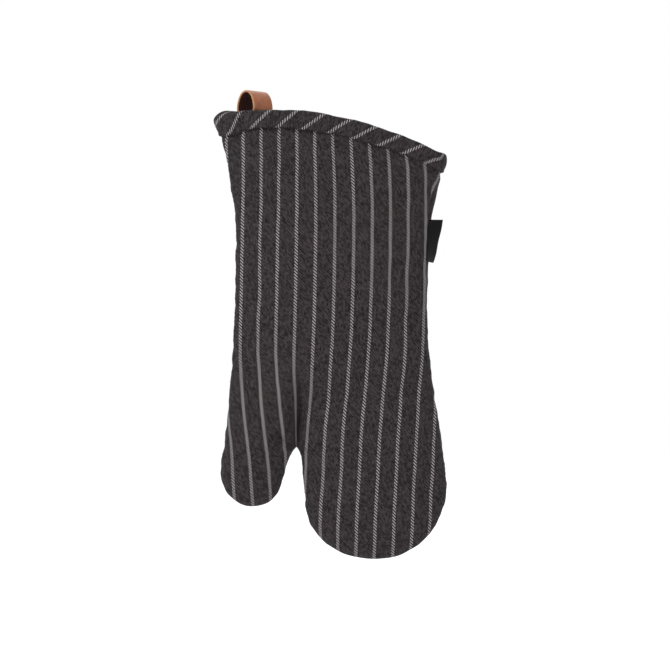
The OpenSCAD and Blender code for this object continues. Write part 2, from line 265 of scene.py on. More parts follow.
def through(rows, at):
    """Smooth curve through rows [level, value], levels rising, for an array of levels."""
    levels, values = (np.array(column, float) for column in zip(*rows))
    slopes = np.gradient(values, levels)
    at = np.clip(at, levels[0], levels[-1])
    i = np.clip(np.searchsorted(levels, at) - 1, 0, len(levels) - 2)
    gap = levels[i + 1] - levels[i]
    f = (at - levels[i]) / gap
    g = 1 - f
    return (
        values[i] * g * g * (1 + 2 * f)
        + values[i + 1] * f * f * (3 - 2 * f)
        + gap * f * g * (slopes[i] * g - slopes[i + 1] * f)
    )


def distances(points):
    """Distance of each point from the first, along the line of points."""
    return np.concatenate([[0], np.cumsum(np.linalg.norm(np.diff(points, axis=0), axis=1))])


def profile(turn):
    """Place on the rounded profile, across and out."""
    return signed_power(np.cos(turn), 2 / ROUND_X), signed_power(np.sin(turn), 2 / ROUND_Y)


def even_turns(half_width, half_thick, count, start=0.0, end=1.0):
    """Turns from the low edge (pi) to the high edge (0) that lie evenly along the profile."""
    turns = np.linspace(np.pi, 0, 721)
    across, out = profile(turns)
    steps = np.hypot(np.diff(across * half_width), np.diff(out * half_thick))
    length = np.concatenate([[0], np.cumsum(steps)])
    return np.interp(np.linspace(start, end, count + 1) * length[-1], length, turns)


# --- shape of the mitt

def rim_level(side, x):
    """Level of the cuff's top edge at a place across."""
    u = (x - RIM_MIDDLE) / RIM_HALF
    drop = RIM_DROP * limit((u + RIM_LEVEL) / (1 + RIM_LEVEL)) ** RIM_CURVE
    for place, reach, height in RIM_RISES:
        drop = drop - height * np.exp(-((x - place) / reach) ** 2)
    notch = NOTCH_DEPTH * ease((x - NOTCH_START) / 1.6) * (1 - ease((x - NOTCH_END) / 5.5))
    # Front and back are level at the side seams, which lie a little inside the widest places.
    back = RIM_BACK_DROP * limit(1 - np.abs(u / 0.9) ** 3) if side == BACK else 0.0
    return RIM_Z - drop - notch - back


def near_crotch(z):
    return 1 - limit((z - CROTCH_Z) / VALLEY)


def split_share(z):
    """0 in the open sleeve, 1 at the crotch, where the mitt is two pockets."""
    near = near_crotch(z)
    fold = (1 - near ** ROUND_X) ** (1 / ROUND_Y)
    return 1 - fold * (1 - 0.72 * ease((near - 0.05) / 0.75))


def from_crotch(part, u):
    """Share of the way from the crotch's side of a pocket (0) to its far side (1)."""
    return (1 - u) / 2 if part == THUMB else (1 + u) / 2


def pocket_edges(part, z, depth=0.0):
    return through(POCKETS[part]["low"], z) + depth, through(POCKETS[part]["high"], z) - depth


def pocket_thickness(part, away, z):
    """Half thickness of a pocket. Next to the crotch both pockets are equally thick."""
    pocket = POCKETS[part]
    down = limit((CROTCH_Z - z) / (CROTCH_Z - pocket["cap_z"]))
    own = mix(pocket["open"], pocket["end"], down)
    return mix(own, MEETING_THICKNESS, (1 - ease(away / 0.35)) * (1 - ease(down * 1.5)))


def sleeve_point(side, part, open_turn, pocket_turn, z, depth):
    """Points of the sleeve at a depth below its outer surface."""
    low = through(THUMB_EDGE, z) + depth
    high = through(FINGER_EDGE, z) - depth
    u, v = profile(open_turn - side * through(SEAM_TURN, z) * (1 - open_turn / np.pi) ** 2)
    near = near_crotch(z)
    web = depth * near ** 2
    pocket_low = low if part == THUMB else CROTCH_X + web
    pocket_high = CROTCH_X - web if part == THUMB else high
    pocket_u, pocket_v = profile(pocket_turn)
    # The two parts share one thickness and one sharp fold where they meet.
    away = from_crotch(part, pocket_u)
    thick = mix(through(HALF_THICKNESS, z), pocket_thickness(part, away, z), near) - depth
    share = mix(split_share(z), ease(near), ease(away / 0.6))
    x = mix(mix(low, high, (u + 1) / 2), mix(pocket_low, pocket_high, (pocket_u + 1) / 2), share)
    y = SEAM_Y + side * thick * mix(v, pocket_v, share)
    return np.stack([x, y, z], -1)


def trimmed(part, across, down):
    """How much narrower the far side of a pocket's round end is."""
    return 1 - POCKETS[part]["trim"] * ease(down / 0.35) * (across > 0)


def cap_place(part, a, b, depth):
    """Places on the round end: a runs across, b from 0 at its base to 1 at the seam."""
    pocket = POCKETS[part]
    low, high = pocket_edges(part, pocket["cap_z"], depth)
    across = a * np.sqrt(1 - b * b / 2)
    down = b * np.sqrt(1 - a * a / 2)
    narrowed = across * trimmed(part, across, down)
    x = (low + high) / 2 + (high - low) / 2 * narrowed + pocket["lean"] * down
    z = pocket["cap_z"] - (pocket["cap_h"] - depth) * down
    out = (1 - np.minimum(1, (across ** 2 + down ** 2) ** (ROUND_X / 2))) ** (1 / ROUND_Y)
    return x, out, z


def pocket_points(side, part, pocket_turn, rows, cap_rows, depth):
    """Grid of one side of a pocket, from the crotch down to the seam round its end."""
    pocket = POCKETS[part]
    z = np.linspace(CROTCH_Z, pocket["cap_z"], rows + 1)[:, None] + 0 * pocket_turn
    low, high = pocket_edges(part, z, depth)
    u, v = profile(pocket_turn + 0 * z)
    thick = pocket_thickness(part, from_crotch(part, u), z) - depth
    tube = np.stack([mix(low, high, (u + 1) / 2), SEAM_Y + side * thick * v, z], -1)
    turns = even_turns(pocket["cap_h"], pocket["end"], cap_rows, 0.5, 1.0)[1:]
    b = np.cos(turns)[:, None] ** (2 / ROUND_X)
    x, out, z = cap_place(part, u[:1], b, depth)
    cap = np.stack([x, SEAM_Y + side * (pocket["end"] - depth) * out, z], -1)
    return np.concatenate([tube, cap])


def sleeve_turns(part, columns):
    """Turns of one part's columns round the open sleeve and round its own pocket."""
    crotch_share = 0.375
    start, end = (0.0, crotch_share) if part == THUMB else (crotch_share, 1.0)
    low, high = (-14.0, CROTCH_X) if part == THUMB else (CROTCH_X, 140.0)
    open_turn = even_turns(72.0, 17.0, columns, start, end)
    return open_turn, even_turns((high - low) / 2 + 4, POCKETS[part]["open"], columns)


def top_level(side, part, open_turn, pocket_turn):
    """Level of the cuff's top edge in each column."""
    z = np.full_like(open_turn, RIM_Z)
    for _ in range(6):
        z = rim_level(side, sleeve_point(side, part, open_turn, pocket_turn, z, 0.0)[..., 0])
    return z


def layer_grid(side, part, columns, rows, depth):
    """Grid of one layer, one side and one part: rows run from the cuff to the pocket's end."""
    sleeve_rows, pocket_rows, cap_rows = rows
    open_turn, pocket_turn = sleeve_turns(part, columns)
    top = top_level(side, part, open_turn, pocket_turn) - BELOW_RIM
    share = 1 - (1 - np.linspace(0, 1, sleeve_rows + 1)[:, None]) ** 1.1
    z = mix(top[None, :], CROTCH_Z, share)
    sleeve = sleeve_point(side, part, open_turn[None, :], pocket_turn[None, :], z, depth)
    pocket = pocket_points(side, part, pocket_turn, pocket_rows, cap_rows, depth)
    return np.concatenate([sleeve[:-1], pocket])


# --- flat cloth under the shape

def arc(outline, start, end, steps=40):
    """Length along outline(place) from start to end, signed, for arrays of places."""
    share = (1 - np.cos(np.linspace(0, np.pi, steps + 1))) / 2
    places = start + (end - start) * share.reshape((-1,) + (1,) * np.ndim(start))
    rise = RISE_SHOWN * np.diff(outline(places), axis=0)
    return np.sign(end - start) * np.hypot(np.diff(places, axis=0), rise).sum(0)


def pocket_out(part, x, z):
    """Height of a pocket's outer surface above the seam at any place in its outline."""
    pocket = POCKETS[part]
    low, high = pocket_edges(part, np.maximum(z, pocket["cap_z"]))
    down = limit((pocket["cap_z"] - z) / pocket["cap_h"])
    across = (x - pocket["lean"] * down - (low + high) / 2) / ((high - low) / 2)
    across = across / trimmed(part, across, down)
    edge = np.minimum(1, (across ** 2 + down ** 2) ** (ROUND_X / 2))
    return pocket_thickness(part, from_crotch(part, across), z) * (1 - edge) ** (1 / ROUND_Y)


def stripe_place(part, z):
    """Place of the part's own stripe at each level, and its distance in flat cloth."""
    if part == THUMB:
        return through(STRIPE_THUMB, z), 0.0
    return through(STRIPE_FINGERS, z), STRIPES_BETWEEN * cloth().stripe_step / MM


def cloth_grid(grid, side, part, sleeve_rows, both):
    """Flat cloth place [across, down] of every point of a grid, so that stripes run true.
    both holds the sleeve's points from edge to edge, which the two parts share."""
    x, z = grid[..., 0], grid[..., 2]
    placed = np.zeros(grid.shape[:2] + (2,))
    for k in range(sleeve_rows):
        row = both[k]
        length = distances(row[:, :2] * [1, RISE_SHOWN])
        rising = np.maximum.accumulate(row[:, 0] + 1e-6 * np.arange(len(row)))
        at = []
        for p in (THUMB, FINGERS):
            place, flat = stripe_place(p, row[:, 2])
            at.append(flat + length - np.interp(place, rising, length))
        middle = mix(CROTCH_X, 38.0, limit((row[:, 2] - CROTCH_Z) / 150))
        reach = mix(7.0, 40.0, ease((row[:, 2] - CROTCH_Z) / 110))
        blended = mix(at[0], at[1], ease((row[:, 0] - middle) / (2 * reach) + 0.5))
        count = grid.shape[1]
        placed[k, :, 0] = blended[:count] if part == THUMB else blended[-count:]
        placed[k, :, 1] = -z[k]
    rest = slice(sleeve_rows, None)
    place, flat = stripe_place(part, z[rest])
    placed[rest, :, 0] = flat + arc(lambda at: pocket_out(part, at, z[rest]), place, x[rest])
    base = np.full_like(z[rest], POCKETS[part]["cap_z"])
    below = arc(lambda at: pocket_out(part, x[rest], at), base, np.minimum(z[rest], base))
    placed[rest, :, 1] = -np.maximum(z[rest], base) - below
    if side == BACK:
        placed[..., 0] += cloth().back_shift / MM
    return placed


# --- meshes

def link(name, data):
    made = bpy.data.objects.new(name, data)
    bpy.context.scene.collection.objects.link(made)
    return made


def build_mesh(name, points, faces, corners, finish=None):
    """Mesh object in metres from points in millimetres, with the flat place of each face corner
    and, if given, the number of each face's material."""
    mesh = bpy.data.meshes.new(name)
    mesh.from_pydata((np.asarray(points, float) * MM).tolist(), [], [list(f) for f in faces])
    mesh.polygons.foreach_set("use_smooth", np.ones(len(mesh.polygons), bool))
    if finish is not None:
        mesh.polygons.foreach_set("material_index", np.asarray(finish, np.int32))
    layer = mesh.uv_layers.new(name="cloth")
    layer.data.foreach_set("uv", np.asarray(corners, np.float32).reshape(-1))
    mesh.update()
    return link(name, mesh)


def grid_faces(rows, columns, flip=False, start=0):
    """Four-cornered faces of a grid of points, numbered row by row."""
    k = np.arange(rows * columns).reshape(rows, columns) + start
    faces = np.stack([k[:-1, :-1], k[1:, :-1], k[1:, 1:], k[:-1, 1:]], -1).reshape(-1, 4)
    return faces[:, ::-1] if flip else faces


def closed_faces(rows, columns, flat, turned=False):
    """Faces of a grid that closes up, and their flat corners. flat holds one column more than
    the grid, and one row more if the rows close up too."""
    high, wide = flat.shape[:2]
    faces = grid_faces(high, wide)
    if turned:
        faces = faces[:, [0, 3, 2, 1]]
    corners = flat.reshape(-1, 2)[faces]
    return faces // wide % rows * columns + faces % wide % columns, corners


def tube_faces(rows, columns, flat, ends):
    """Faces and flat corners of a tube with both ends closed; ends is the flat shape of an end."""
    faces, corners = closed_faces(rows, columns, flat, True)
    ring = list(range(columns))
    last = [(rows - 1) * columns + k for k in ring]
    faces = faces.tolist() + [ring[::-1], last]
    return faces, np.concatenate([corners.reshape(-1, 2), ends[0][::-1], ends[1]])


def weld(points, faces):
    """Joins points that lie together."""
    keys = np.round(points / 1e-3).astype(np.int64)
    _, first, inverse = np.unique(keys, axis=0, return_index=True, return_inverse=True)
    order = np.argsort(first)
    rank = np.empty_like(order)
    rank[order] = np.arange(len(order))
    return points[first[order]], rank[inverse.reshape(-1)][faces]


def read(items, key, width, kind=np.float32):
    """One property of every item of a mesh, in rows of the given width."""
    values = np.zeros(len(items) * width, kind)
    items.foreach_get(key, values)
    return values.reshape(-1, width)


def coordinates(mesh):
    return read(mesh.vertices, "co", 3).astype(float)


def surface(mesh):
    """Places in millimetres and normals of a mesh's points."""
    return coordinates(mesh) / MM, read(mesh.vertex_normals, "vector", 3).astype(float)


def set_coordinates(mesh, places):
    mesh.vertices.foreach_set("co", np.asarray(places, np.float32).ravel())
    mesh.update()


def apply_modifiers(made):
    """Bakes the modifiers of an object into its mesh."""
    evaluated = made.evaluated_get(bpy.context.evaluated_depsgraph_get())
    mesh = bpy.data.meshes.new_from_object(evaluated)
    made.modifiers.clear()
    old = made.data
    made.data = mesh
    mesh.name = old.name
    bpy.data.meshes.remove(old)


def subdivide(made):
    modifier = made.modifiers.new("Finer", "SUBSURF")
    modifier.levels = 1
    modifier.render_levels = 1
    modifier.uv_smooth = "NONE"
    modifier.boundary_smooth = "PRESERVE_CORNERS"
    apply_modifiers(made)


def waves(points, step, seed, count=7):
    """Even, soft noise between -1 and 1 made of crossing waves of about one length."""
    random = np.random.default_rng(seed)
    total = np.zeros(len(points))
    for _ in range(count):
        way = random.normal(size=3)
        way /= np.linalg.norm(way)
        length = step * random.uniform(0.75, 1.45)
        total += np.sin(2 * np.pi * (points @ way) / length + random.uniform(0, 2 * np.pi))
    return total / math.sqrt(count * 0.5) / 2


# --- materials

def linear(colour, share=1.0):
    """Linear colour with full alpha from sRGB parts, darkened or lightened by share."""
    parts = [p / 12.92 if p <= 0.04045 else ((p + 0.055) / 1.055) ** 2.4 for p in colour[:3]]
    return [share * p for p in parts] + [1.0]


def hex_parts(code):
    return tuple(int(code[k:k + 2], 16) / 255 for k in (1, 3, 5))


def add_node(tree, kind, feeds=None, **settings):
    """Adds one node, sets its properties, and sets or links the inputs that feeds names."""
    made = tree.nodes.new("ShaderNode" + kind)
    for key, value in settings.items():
        setattr(made, key, value)
    for key, value in (feeds or {}).items():
        if isinstance(value, bpy.types.Node):
            value = value.outputs[0]
        if isinstance(value, bpy.types.NodeSocket):
            tree.links.new(value, made.inputs[key])
        else:
            made.inputs[key].default_value = value
    return made


class Recipe:
    """The nodes of one material, and the few functions that add to them."""

    def __init__(self, name):
        self.material = bpy.data.materials.new(name)
        self.material.use_nodes = True
        self.tree = self.material.node_tree
        self.tree.nodes.clear()

    def node(self, kind, feeds=None, **settings):
        return add_node(self.tree, kind, feeds, **settings)

    def calc(self, operation, *values, **settings):
        return self.node("Math", dict(enumerate(values)), operation=operation, **settings)

    def noise(self, place, scale, detail, **feeds):
        feeds = {"Vector": place, "Scale": scale, "Detail": detail, **feeds}
        return self.node("TexNoise", feeds, noise_dimensions="2D")

    def step(self, value, low, high):
        feeds = {"Value": value, "From Min": low, "From Max": high}
        return self.node("MapRange", feeds, interpolation_type="SMOOTHSTEP")

    def lines(self, value, gap):
        """Ridges from 0 to 0.5, one every gap in millimetres."""
        return self.calc("PINGPONG", self.calc("MULTIPLY", value, 1 / gap), 0.5)

    def blend(self, share, a, b):
        return self.node("Mix", {"Factor": share, "A": a, "B": b}, data_type="RGBA").outputs[2]

    def finish(self, colour, height, strength, deep, feeds):
        """Shades the colour, with a bump from the height, and returns the material."""
        bump = self.node("Bump", {"Strength": strength, "Distance": deep, "Height": height})
        feeds = {"Base Color": colour, "Normal": bump, **feeds}
        return self.show(self.node("BsdfPrincipled", feeds))

    def show(self, shader):
        self.node("OutputMaterial", {"Surface": shader})
        return self.material


def twill_cloth(name, seed):
    """Yarn-dyed cotton twill, woven: dull charcoal with mixed yarns, and pale stripes whose
    slanted floats look like a fine cord."""
    c = cloth()
    m = Recipe(name)
    flat = m.node("UVMap", uv_map="cloth")
    # Yarns wander a little: noise over about 9 mm moves the cloth by up to 0.25 mm.
    wander = m.noise(flat, 0.11, 2.0).outputs["Color"]
    shift = m.node("VectorMath", {0: wander, 1: (-0.5, -0.5, -0.5)}, operation="ADD")
    moved = m.node("VectorMath", {0: shift, 1: (0.5, 0.5, 0.0), 2: flat}, operation="MULTIPLY_ADD")
    across, down = m.node("SeparateXYZ", {0: moved}).outputs[:2]

    # 1 on a stripe, from the distance to the nearest stripe's middle.
    gap = c.stripe_step / MM
    half = c.stripe_width / MM / 2
    inside = m.calc("FLOORED_MODULO", m.calc("ADD", across, gap / 2), gap)
    off = m.calc("ABSOLUTE", m.calc("SUBTRACT", inside, gap / 2))
    stripe = m.step(off, half + 0.2, half - 0.2)

    # Slanted lines of the twill, down to the right. Real ones are 0.6 mm apart and are drawn
    # 2.3 mm apart so that they show.
    turn = m.calc("MULTIPLY", m.calc("SUBTRACT", down, across), 1 / (c.float_step / MM))
    line = m.calc("PINGPONG", turn, 0.5)
    floats = m.step(line, 0.16, 0.36)

    # Mixed yarns: each 1.2 mm of yarn has its own shade.
    yarn = m.calc("FLOOR", m.calc("MULTIPLY", across, 1 / 1.2))
    row = m.calc("FLOOR", m.calc("MULTIPLY", turn, 2.0))
    cell = m.node("CombineXYZ", {0: yarn, 1: row, 2: float(seed)})
    speck = m.node("TexWhiteNoise", {"Vector": cell}, noise_dimensions="3D")
    slubs = m.node("VectorMath", {0: flat, 1: (1.0, 0.55, 0.0)}, operation="MULTIPLY")
    cloud = m.noise(slubs, 0.3, 6.0, Roughness=0.8)
    shade = m.calc("MULTIPLY_ADD", speck, 0.7, -0.48)
    shade = m.calc("MULTIPLY_ADD", line, 0.4, shade)
    shade = m.calc("MULTIPLY_ADD", cloud, 0.95, shade, use_clamp=True)
    ground = m.blend(shade, linear(c.dark_yarn), linear(c.light_yarn))
    bright = m.calc("MULTIPLY_ADD", speck, 0.25, 0.75)
    lit = m.calc("MULTIPLY", floats, bright)
    pale = m.blend(lit, linear(c.stripe_gap), linear(c.stripe_yarn))

    raised = m.calc("MULTIPLY", stripe, floats)
    height = m.calc("MULTIPLY_ADD", raised, 0.8, line)
    fuzz = m.calc("MULTIPLY_ADD", speck, 0.3, height)
    return m.finish(m.blend(stripe, ground, pale), fuzz, 0.6, 0.0004, {
        "Roughness": 0.9, "Specular IOR Level": 0.15, "Sheen Weight": 0.03, "Sheen Roughness": 0.5,
    })


def plain_cloth(name, dark, light):
    """Plain-woven cotton lining: dull and even, with a fine square grain."""
    m = Recipe(name)
    flat = m.node("UVMap", uv_map="cloth")
    # Real threads are 0.35 mm apart and are drawn 0.9 mm apart.
    warp, weft = (m.lines(way, 0.9) for way in m.node("SeparateXYZ", {0: flat}).outputs[:2])
    grain = m.calc("ADD", warp, weft)
    share = m.calc("MULTIPLY_ADD", grain, 0.5, m.noise(flat, 0.8, 3.0))
    share = m.calc("SUBTRACT", share, 0.25, use_clamp=True)
    return m.finish(m.blend(share, linear(dark), linear(light)), grain, 0.4, 0.0002,
                    {"Roughness": 0.9, "Specular IOR Level": 0.2})


def smooth_leather(name, dark, light, roughness, grain_height):
    """Vegetable-tanned cowhide: smooth and half glossy on its face, dull and paler where cut."""
    m = Recipe(name)
    flat = m.node("UVMap", uv_map="cloth")
    # Pores and grain cells are about 0.45 mm across, and the tan varies over 5 mm.
    cells = m.node("TexVoronoi", {"Vector": flat, "Scale": 2.2}, feature="SMOOTH_F1",
                   voronoi_dimensions="2D")
    share = m.calc("MULTIPLY_ADD", cells, 0.25, m.noise(flat, 0.2, 4.0), use_clamp=True)
    return m.finish(m.blend(share, linear(dark), linear(light)), cells, 0.3, grain_height,
                    {"Roughness": roughness, "IOR": 1.5, "Specular IOR Level": 0.4})


def spun_thread(name, colour):
    """Spun polyester sewing thread: two plies twisted, slightly shiny, with painted shade in the
    grooves between the plies.
    """
    m = Recipe(name)
    along, around = m.node("SeparateXYZ", {0: m.node("UVMap", uv_map="cloth")}).outputs[:2]
    # One turn of the plies every 0.8 mm.
    twist = m.calc("MULTIPLY", along, 1 / 0.8)
    ply = m.calc("PINGPONG", m.calc("ADD", around, twist), 0.5)
    # The grooves between the plies are painted darker, down to 0.55 of the colour: painted shade.
    return m.finish(m.blend(ply, linear(colour, 0.55), linear(colour)), ply, 0.5, 0.0001,
                    {"Roughness": 0.6})


def woven_satin(name, colour):
    """Satin label ribbon: black, with long floats that catch the light along the ribbon. Its colour
    is painted lighter on the raised floats and darker between them: painted highlight and shade.
    """
    m = Recipe(name)
    flat = m.node("UVMap", uv_map="cloth")
    # Real yarns are 0.2 mm apart and are drawn 0.6 mm apart.
    line = m.lines(m.node("SeparateXYZ", {0: flat}).outputs[1], 0.6)
    height = m.calc("MULTIPLY_ADD", m.noise(flat, 1.5, 2.0), 0.5, line)
    # Painted highlight on the raised floats and painted shade between them, with noise for uneven
    # tone.
    return m.finish(m.blend(height, linear(colour, 0.7), linear(colour, 1.5)), height, 0.4, 0.0001,
                    {"Roughness": 0.45, "Specular IOR Level": 0.1, "Anisotropic": 0.4})


# --- settings

def length_setting(name, text, default_mm):
    return bpy.props.FloatProperty(
        name=name, description=text, default=default_mm * MM, unit="LENGTH", precision=4
    )


def colour_setting(name, text, code):
    return bpy.props.FloatVectorProperty(
        name=name, description=text, default=hex_parts(code), subtype="COLOR_GAMMA",
        min=0, max=1, size=3,
    )


def power_setting(name, text, watts):
    return bpy.props.FloatProperty(
        name=name, description=text, default=watts, min=0, unit="POWER"
    )


class MittCloth(bpy.types.PropertyGroup):
    """The cloth layers: thicknesses, stripes, wrinkles and yarn colours."""

    outer_thick: length_setting("Outer cloth", "Thickness of the striped twill", 1.0)
    lining_depth: length_setting("Lining depth", "Depth of the lining below the outer face", 5.0)
    lining_thick: length_setting("Lining", "Thickness of the lining", 0.8)
    stripe_step: length_setting("Stripe spacing", "Distance from stripe to stripe", 13.5)
    stripe_width: length_setting("Stripe width", "Width of one pale stripe", 2.3)
    back_shift: length_setting("Back shift", "How far the back's stripes are shifted", 9.5)
    float_step: length_setting("Float spacing", "Distance between floats down a stripe", 2.3)
    slack: bpy.props.FloatProperty(
        name="Slack", description="Share by which the cloth is longer than its shape",
        default=0.015, min=0, max=0.1, subtype="FACTOR",
    )
    most_move: length_setting("Most movement", "How far the simulation may move a point", 2.2)
    dark_yarn: colour_setting("Dark yarn", "Darkest yarn of the ground", "#161415")
    light_yarn: colour_setting("Light yarn", "Lightest yarn of the ground", "#4a4345")
    stripe_yarn: colour_setting("Stripe yarn", "Pale yarn of the stripes", "#b2abac")
    stripe_gap: colour_setting("Stripe gap", "Shade between the floats of a stripe", "#1d1a1b")
    lining_dark: colour_setting("Lining shade", "Dark threads of the lining", "#1f1e20")
    lining_light: colour_setting("Lining light", "Light threads of the lining", "#39373a")


class MittTrim(bpy.types.PropertyGroup):
    """Binding, stitches, leather loop and label."""

    binding_height: length_setting("Binding height", "Height of the binding", 14.0)
    binding_out: length_setting("Binding stand", "How far the binding stands off the cloth", 1.5)
    bias_shift: length_setting("Bias shift", "Shift of the binding's slanted stripes", -13.3)
    thread_thick: length_setting("Thread", "Thickness of the sewing thread", 0.55)
    stitch_length: length_setting("Stitch", "Length of one stitch", 3.0)
    stitch_step: length_setting("Stitch step", "Distance from stitch to stitch", 4.5)
    strap_thick: length_setting("Leather", "Thickness of the leather", 1.5)
    strap_width: length_setting("Strap width", "Width of the leather strap", 19.0)
    label_out: length_setting("Label width", "How far the label stands out of the seam", 10.2)
    leather_dark: colour_setting("Leather shade", "Darker tan of the face", "#86472a")
    leather_light: colour_setting("Leather", "Lighter tan of the face", "#b56c3e")
    leather_cut: colour_setting("Cut leather", "Paler tan of the cut edges", "#c79b78")
    # The flesh side's two browns are painted shade: they darken the inside of the loop as its shadow
    # would.
    flesh_painted_shade_dark: colour_setting("Flesh side shade", "Darker brown inside the loop", "#260a02")
    flesh_painted_shade_light: colour_setting("Flesh side", "Lighter brown inside the loop", "#481b0a")
    thread_colour: colour_setting("Thread", "Colour of the sewing thread", "#2c2a2c")
    label_colour: colour_setting("Label", "Colour of the label", "#09090a")


class MittStage(bpy.types.PropertyGroup):
    """Floor, lamps and camera."""

    floor_below: length_setting("Floor below", "How far the floor lies below the origin", 440.0)
    camera_away: length_setting("Camera distance", "Distance from the camera to the seam", 1500.0)
    view_width: length_setting("View width", "Width of the view at the seam", 495.8)
    key: power_setting("Key lamp", "Power of the key lamp", 13.5)
    fill: power_setting("Fill lamp", "Power of the fill lamp", 2.5)
    back: power_setting("Back lamp", "Power of the back lamp", 9.0)
    sky: bpy.props.FloatProperty(
        name="Sky", description="Strength of the even light", default=0.64, min=0
    )


def cloth():
    return bpy.context.scene.mitt_cloth


def trim():
    return bpy.context.scene.mitt_trim


# --- cloth layers

def build_shell(name, depth, columns, sleeve_rows, pocket_rows):
    """One whole layer, welded, as a mesh whose faces know their panel."""
    points, places, faces, pieces = [], [], [], []
    count = 0
    for side in (FRONT, BACK):
        grids = {}
        for part in (THUMB, FINGERS):
            rows = (sleeve_rows,) + pocket_rows[part]
            grids[part] = layer_grid(side, part, columns[part], rows, depth)
        both = np.concatenate([
            grids[THUMB][:sleeve_rows], grids[FINGERS][:sleeve_rows, 1:]
        ], axis=1)
        for part, grid in grids.items():
            high, wide = grid.shape[:2]
            in_pocket = np.repeat(np.arange(high - 1), wide - 1) >= sleeve_rows
            points.append(grid.reshape(-1, 3))
            places.append(cloth_grid(grid, side, part, sleeve_rows, both).reshape(-1, 2))
            faces.append(grid_faces(high, wide, side == BACK, count))
            pieces.append(np.where(in_pocket, PIECES[side, part], PIECES[side, FINGERS]))
            count += high * wide
    points, places, faces, pieces = map(np.concatenate, (points, places, faces, pieces))
    welded, joined = weld(points, faces)
    whole = np.array([len(set(face)) == 4 for face in joined])
    shell = build_mesh(name, welded, joined[whole], places[faces[whole]])
    attribute = shell.data.attributes.new("piece", "INT", "FACE")
    attribute.data.foreach_set("value", pieces[whole].astype(np.int32))
    return shell


def piece_numbers(mesh):
    return read(mesh.attributes["piece"].data, "value", 1, np.int32).ravel()


def face_points(mesh):
    return read(mesh.loops, "vertex_index", 1, np.int32).reshape(-1, 4)


def seam_points(mesh):
    """Which points lie on the seam between the front and the back."""
    faces, pieces = face_points(mesh), piece_numbers(mesh)
    seam = np.zeros((2, len(mesh.vertices)), bool)
    seam[0, faces[pieces < 2].ravel()] = True
    seam[1, faces[pieces >= 2].ravel()] = True
    return seam.all(0)


def mark_seam(mesh, seam):
    """Shades the seam between front and back as a sharp line."""
    ends = read(mesh.edges, "vertices", 2, np.int32)
    sharp = seam[ends].all(1)
    mesh.attributes.new("sharp_edge", "BOOLEAN", "EDGE").data.foreach_set("value", sharp)


def distance_to(points, targets):
    """Distance from each point to the nearest target, by a k-d tree."""
    tree = KDTree(len(targets))
    for k, target in enumerate(targets):
        tree.insert(target, k)
    tree.balance()
    return np.array([tree.find(p)[2] for p in points])


def settle(made, pinned):
    """Runs the cloth: a little slack and pressure wrinkle it, and the seams are held."""
    group = made.vertex_groups.new(name="held")
    group.add([int(k) for k in np.flatnonzero(pinned)], 1.0, "REPLACE")
    modifier = made.modifiers.new("Cloth", "CLOTH")
    settings = modifier.settings
    settings.quality = 6
    settings.mass = 0.15
    settings.tension_stiffness = 20
    settings.compression_stiffness = 20
    settings.shear_stiffness = 8
    settings.bending_stiffness = 1.5
    settings.air_damping = 2
    settings.shrink_min = -cloth().slack
    settings.use_pressure = True
    settings.uniform_pressure_force = 2.0
    settings.vertex_group_mass = "held"
    settings.effector_weights.gravity = 0
    modifier.point_cache.frame_start = 1
    modifier.point_cache.frame_end = SETTLE_FRAMES
    for k in range(1, SETTLE_FRAMES + 1):
        bpy.context.scene.frame_set(k)
    evaluated = made.evaluated_get(bpy.context.evaluated_depsgraph_get())
    settled = coordinates(evaluated.data)
    made.modifiers.clear()
    made.vertex_groups.clear()
    bpy.context.scene.frame_set(1)
    return settled


def hold_back(mesh, rest, moved, free):
    """Smooths the simulated movement and keeps it small, and only where the cloth is free."""
    change = (moved - rest) / MM
    a, b = read(mesh.edges, "vertices", 2, np.int32).T
    joined = np.bincount(a, minlength=len(rest)) + np.bincount(b, minlength=len(rest))
    for _ in range(5):
        total = np.zeros_like(change)
        np.add.at(total, a, change[b])
        np.add.at(total, b, change[a])
        change = (change + total / joined[:, None]) / 2
    reach = np.linalg.norm(change, axis=1)
    most = cloth().most_move / MM
    kept = most * np.tanh(reach / most) / np.maximum(reach, 1e-9)
    return rest + change * (kept * free)[:, None] * MM


def press_creases(points, normals, share=1.0):
    """Presses the creases into the front face, straight back."""
    flat = points[:, [0, 2]]
    depth = np.zeros(len(points))
    for start, end, deep, wide in CREASES:
        start, end = np.array(start), np.array(end)
        way = end - start
        along = limit(((flat - start) @ way) / (way @ way))
        off = np.linalg.norm(flat - start - along[:, None] * way, axis=1)
        depth += deep * np.exp(-(off / wide) ** 2) * (0.35 + 0.65 * np.sin(np.pi * along))
    pressed = points.copy()
    pressed[:, 1] += share * depth * ease((-normals[:, 1] - 0.25) / 0.5)
    return pressed


def press_seams(points, normals, from_seam, below):
    """Presses a line along the side seams and a ditch under the binding."""
    deep, reach = SEAM_LINE
    line = deep * np.exp(-(from_seam / reach) ** 2) * ease(below / 4)
    deep, reach = DITCH
    under = below - trim().binding_height / MM * band_stretch(points[:, 0])
    ditch = deep * np.exp(-((under - 0.8) / reach) ** 2) * (0.25 + 0.75 * ease(from_seam / 12))
    return points - normals * (line + ditch)[:, None]


def pucker(points, normals, from_seam, below):
    """Small gathers beside the side seams and under the binding, and soft dents all over."""
    beside = np.exp(-(from_seam / 5.0) ** 1.5)
    gathers = waves(points * [0.25, 0.25, 1.0], 6.5, 11) * 0.4
    gathers = (gathers + waves(points * [0.2, 0.2, 1.0], 19.0, 15) * 0.5) * beside
    under = np.exp(-((below - 16.0) / 9.0) ** 2)
    folds = waves(points * [1.0, 0.3, 0.15], 13.0, 12) * under * 0.55
    dents = waves(points, 46.0, 13) * 0.5 + waves(points, 21.0, 14) * 0.16
    return points + normals * (gathers + folds + dents * (1 - beside))[:, None]


